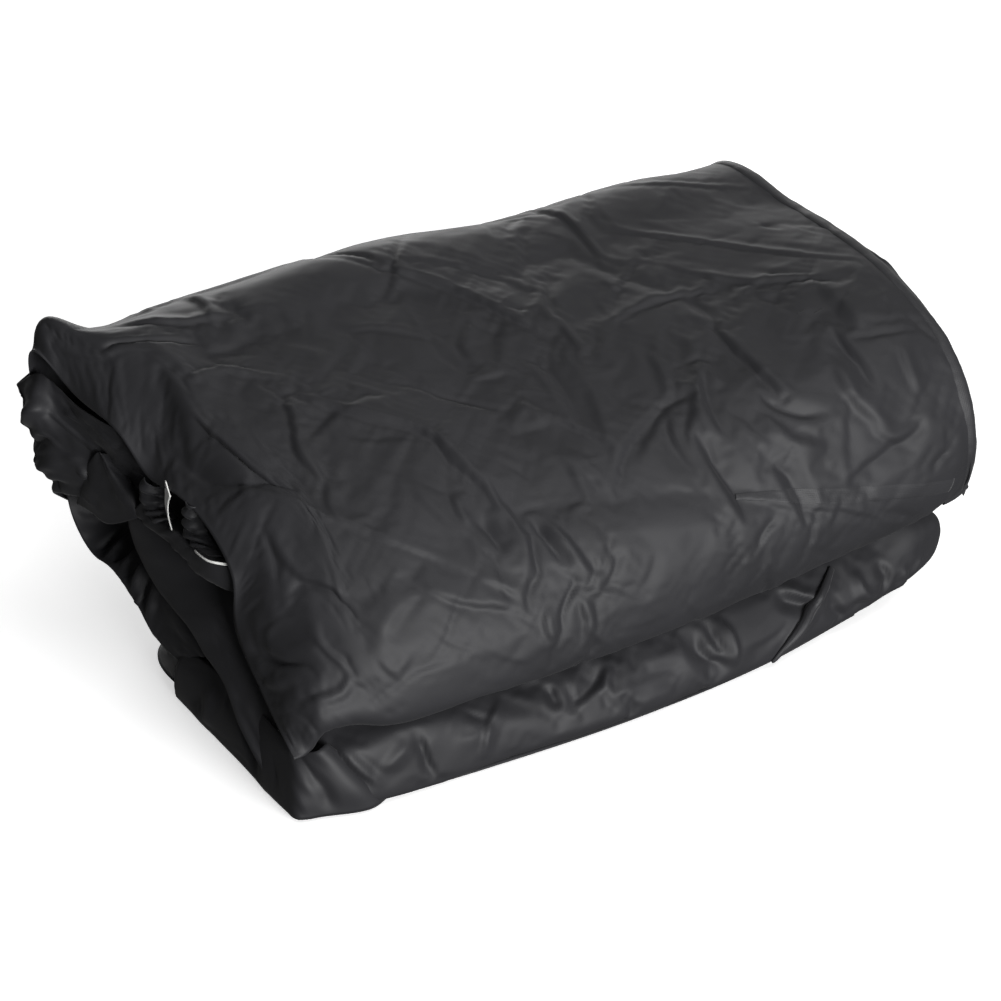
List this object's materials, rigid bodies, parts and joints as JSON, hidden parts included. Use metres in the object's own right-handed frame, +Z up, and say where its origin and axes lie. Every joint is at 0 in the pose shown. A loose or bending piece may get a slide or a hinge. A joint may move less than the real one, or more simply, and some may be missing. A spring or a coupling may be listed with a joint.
{
  "type": "grill cover",
  "caption": "Black fabric grill cover folded into a soft bundle of two folds, with a gathered elastic hem; the upper fold opens off the lower one.",
  "frame": {"origin": "middle of the bundle's footprint, on the surface it rests on", "axes": "+X along the bundle towards its bound end, +Y towards the fold line at the back, +Z up"},
  "size_m": [0.44, 0.2438, 0.1687],
  "materials": {
    "taffeta": "satin",
    "binding": "matte",
    "elastic": "matte",
    "thread": "matte"
  },
  "bodies": {
    "lower_fold": {"floor_layer": "taffeta", "lower_skirt_wrap": "taffeta", "lower_skirt_pack": "taffeta", "lower_right_fold": "taffeta", "lower_hem_roll": "taffeta", "left_pleat_low": "taffeta", "left_pleat_middle": "taffeta", "left_pleat_high": "taffeta", "back_fold": "taffeta"},
    "upper_fold": {"top_panel_wrap": "taffeta", "front_skirt_pack": "taffeta", "rear_skirt_pack": "taffeta", "left_end_panel": "taffeta", "left_end_flap": "taffeta", "left_hem_casing": "taffeta", "left_hem_corner": "taffeta", "hem_elastic": "elastic", "right_end_panel": "taffeta", "right_end_binding": "binding", "hem_rolled_end": "taffeta", "front_hem_tape": "binding", "bar_tack_left": "thread", "bar_tack_right": "thread"}
  },
  "joints": [
    {"name": "fold_open", "type": "hinge", "parent": "lower_fold", "child": "upper_fold", "pos_m": [0, 0.12, 0.048], "axis": [-1, 0, 0], "range_deg": [0, 110]}
  ]
}
